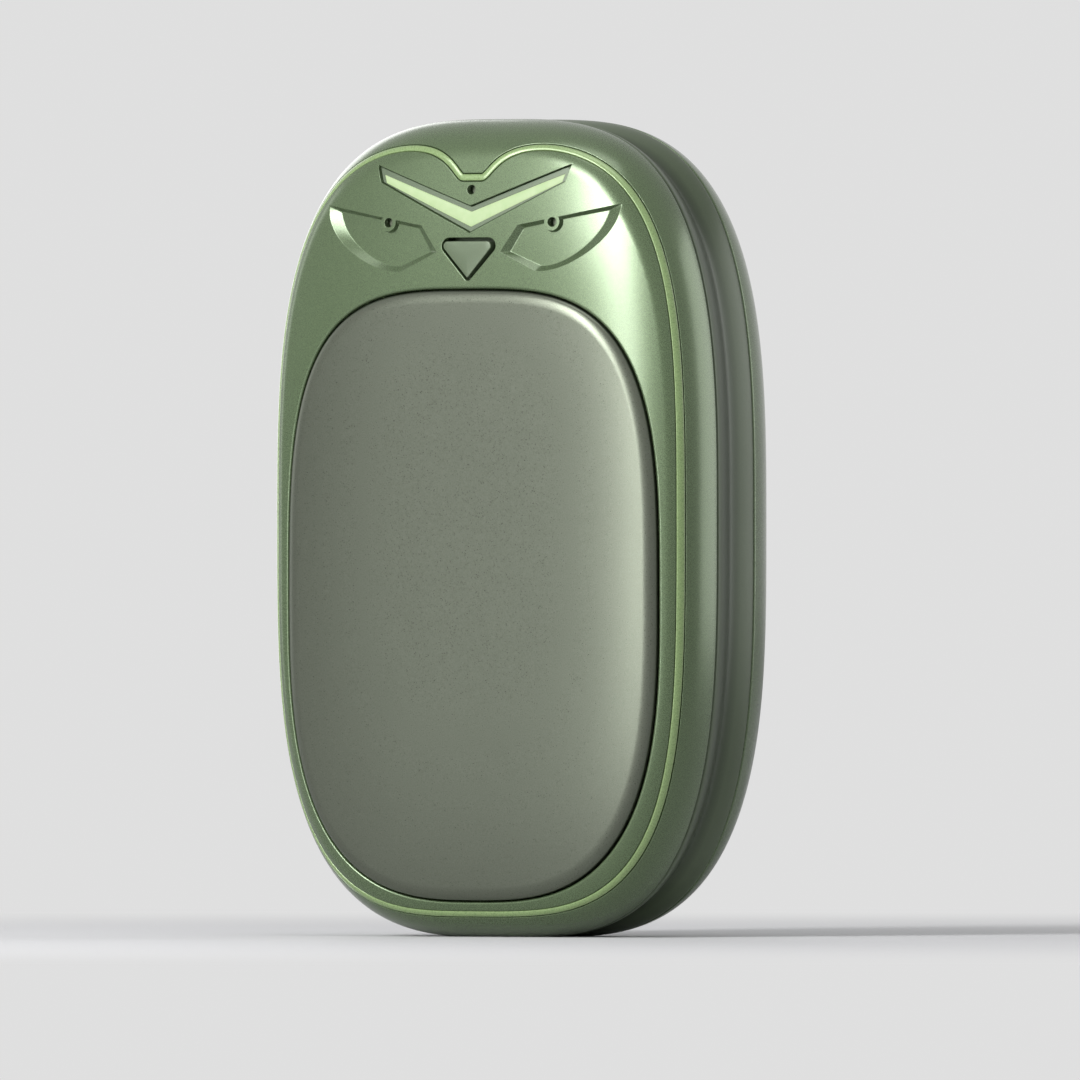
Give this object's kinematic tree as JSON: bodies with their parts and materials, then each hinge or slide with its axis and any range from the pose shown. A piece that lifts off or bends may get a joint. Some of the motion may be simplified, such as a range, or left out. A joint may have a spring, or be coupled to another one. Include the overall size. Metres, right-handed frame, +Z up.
{
  "type": "rechargeable hand warmer",
  "caption": "Upright pebble-shaped rechargeable hand warmer with domed heat plates, a lit chevron bar and a triangular power button.",
  "frame": {"origin": "centre of the foot that the body stands on, on the floor", "axes": "+Z up along the body's height, -Y out of the front with the face panel, +X to the right as seen from the front"},
  "size_m": [0.063, 0.0281, 0.105],
  "materials": {
    "shell_green": "fine satin, sage green",
    "waist_green": "satin, darker sage green",
    "trim_green": "satin, light green",
    "bezel_green": "matte, grey green",
    "lit_strip": "translucent diffuser, lit pale green",
    "clear_plastic": "clear light pipes",
    "button_green": "satin, grey green",
    "black_plastic": "moulded",
    "white_plastic": "moulded",
    "plate_paint": "fine sand texture, grey green",
    "seal_black": "adhesive foam tape",
    "film_amber": "polyimide film",
    "foam_grey": "soft foam",
    "cell_foil": "foil pouch",
    "board_green": "solder mask",
    "lamp_white": "lamp package",
    "bright_steel": "plated steel",
    "lead_red": "silicone insulation",
    "lead_black": "silicone insulation",
    "lead_white": "silicone insulation"
  },
  "bodies": {
    "case": {"front_shell": "shell_green", "back_shell": "shell_green", "mid_frame": "waist_green", "trim_ring": "trim_green", "light_bar_bezel": "bezel_green", "light_bar": "lit_strip", "indicator_light_pipes": "clear_plastic", "tact_switch": "black_plastic", "front_heat_plate": "plate_paint", "back_heat_plate": "plate_paint", "front_plate_seal": "seal_black", "back_plate_seal": "seal_black", "front_heater_film": "film_amber", "back_heater_film": "film_amber", "front_foam_pad": "foam_grey", "back_foam_pad": "foam_grey", "cell_divider": "foam_grey", "front_battery_cell": "cell_foil", "back_battery_cell": "cell_foil", "chassis": "white_plastic", "control_board": "board_green", "port_board": "board_green", "board_leds": "lamp_white", "board_chips": "black_plastic", "boost_inductor": "black_plastic", "board_connectors": "white_plastic", "temperature_sensors": "film_amber", "usb_c_socket": "bright_steel", "usb_c_tongue": "black_plastic", "port_ribbon": "film_amber", "case_screws": "bright_steel", "board_screws": "bright_steel", "positive_lead": "lead_red", "negative_lead": "lead_black", "heater_leads": "lead_white"},
    "button": {"power_button": "button_green"},
    "plunger": {"switch_plunger": "white_plastic"}
  },
  "joints": [
    {"name": "button_press", "type": "slide", "parent": "case", "child": "button", "axis": [0, 1, 0], "range_m": [0, 0.0005], "stiffness_N_per_m": 400, "springref_m": -0.002},
    {"name": "plunger_press", "type": "slide", "parent": "case", "child": "plunger", "axis": [0, 1, 0], "range_m": [0, 0.0005]}
  ],
  "couplings": [
    {"joint": "plunger_press", "follows": "button_press", "ratio": 1}
  ]
}
